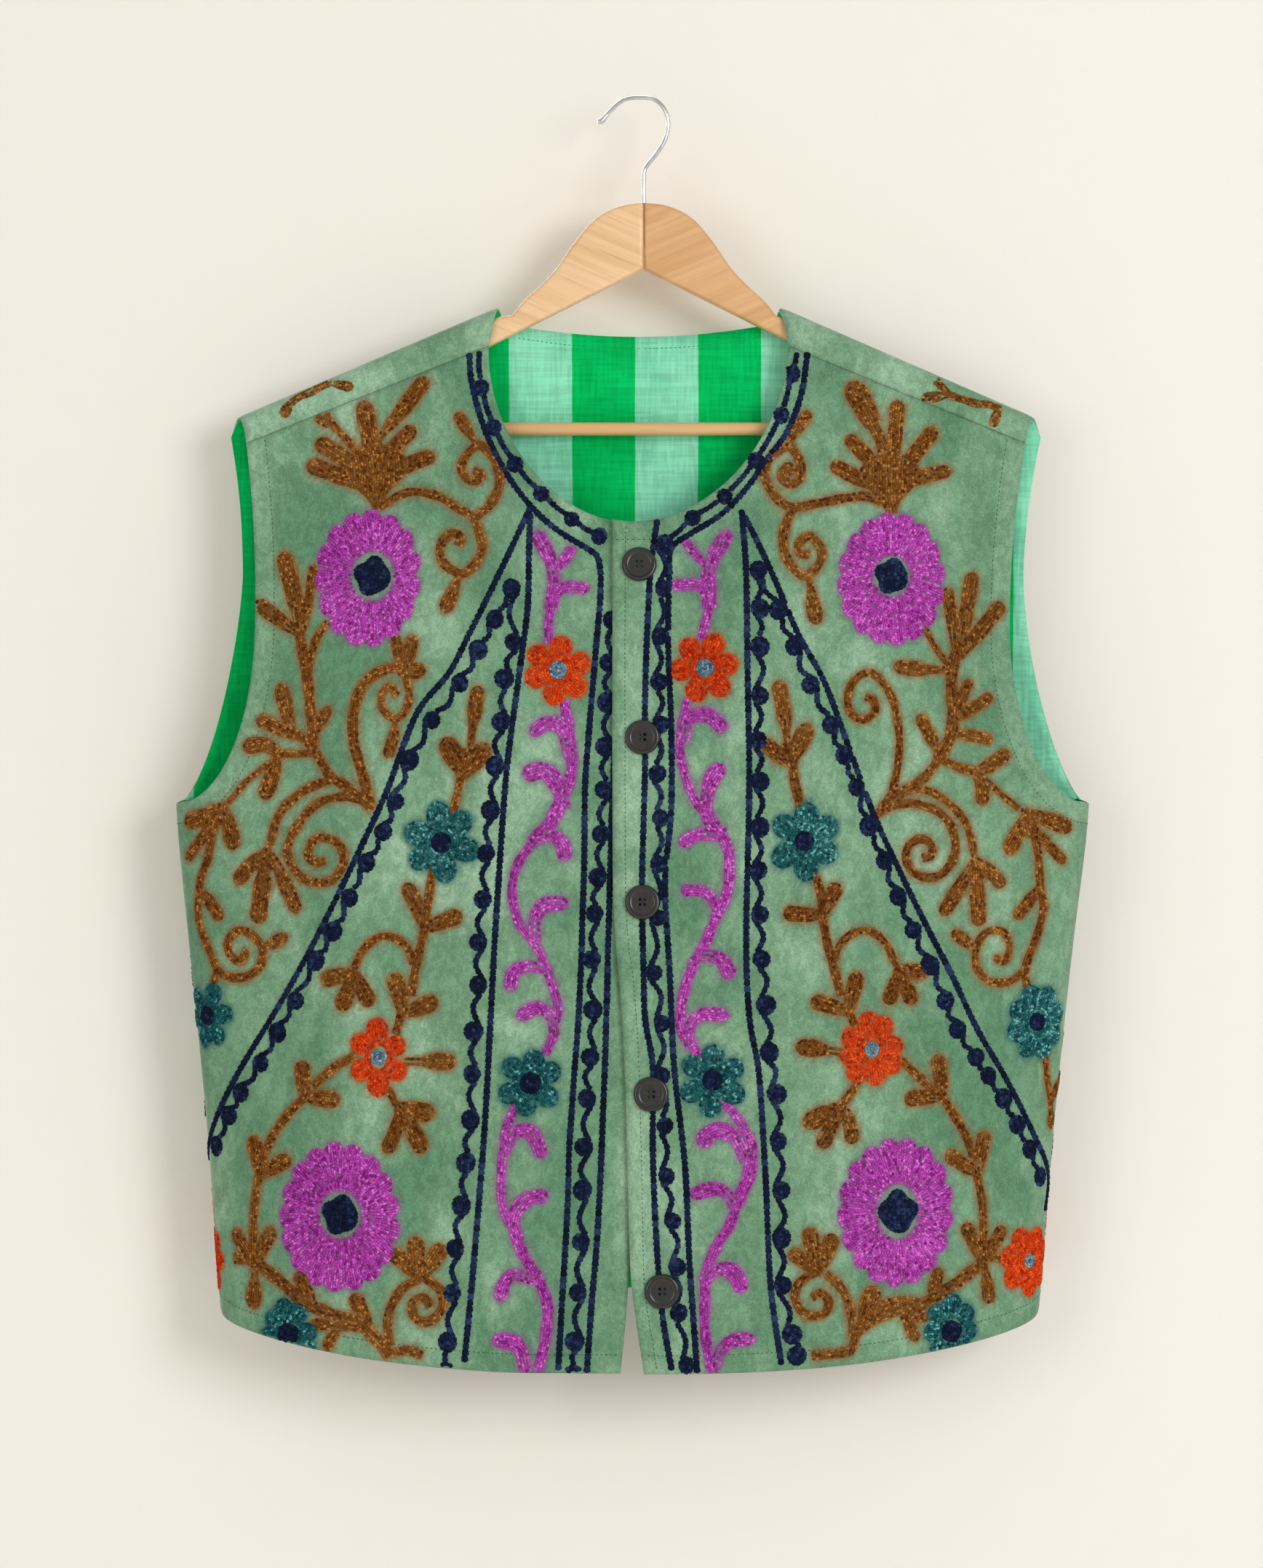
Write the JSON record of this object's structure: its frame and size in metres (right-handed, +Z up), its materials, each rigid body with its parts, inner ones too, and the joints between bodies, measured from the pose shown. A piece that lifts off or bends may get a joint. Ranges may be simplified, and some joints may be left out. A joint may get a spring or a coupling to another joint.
{
  "type": "embroidered folk vest on a wooden hanger",
  "caption": "Sleeveless velvet vest with overlapping buttoned fronts, round neck, deep armholes and a curved hem, hung on a shaped wooden hanger with a trouser bar and a wire hook.",
  "frame": {"origin": "top of the inside of the hanger's hook, on the underside of its wire, where a pin or rail carries it", "axes": "+Z up, the fronts face -Y, and the wearer's left front is towards +X"},
  "size_m": [0.5956, 0.101, 0.8266],
  "materials": {
    "velvet": "sage green crushed velvet with chain-stitch embroidery",
    "lining_cotton": "plain-weave cotton in wide green and mint stripes",
    "button_plastic": "polished, near black",
    "beech_wood": "light wood with a clear satin varnish",
    "hook_steel": "bright plated wire"
  },
  "bodies": {
    "root": {"back": "velvet", "back_lining": "lining_cotton", "front_left": "velvet", "front_right": "velvet", "button_1": "button_plastic", "button_2": "button_plastic", "button_3": "button_plastic", "button_4": "button_plastic", "button_5": "button_plastic", "hanger_arm_left": "beech_wood", "hanger_arm_right": "beech_wood", "hanger_bar": "beech_wood", "hanger_hook": "hook_steel"}
  },
  "joints": []
}
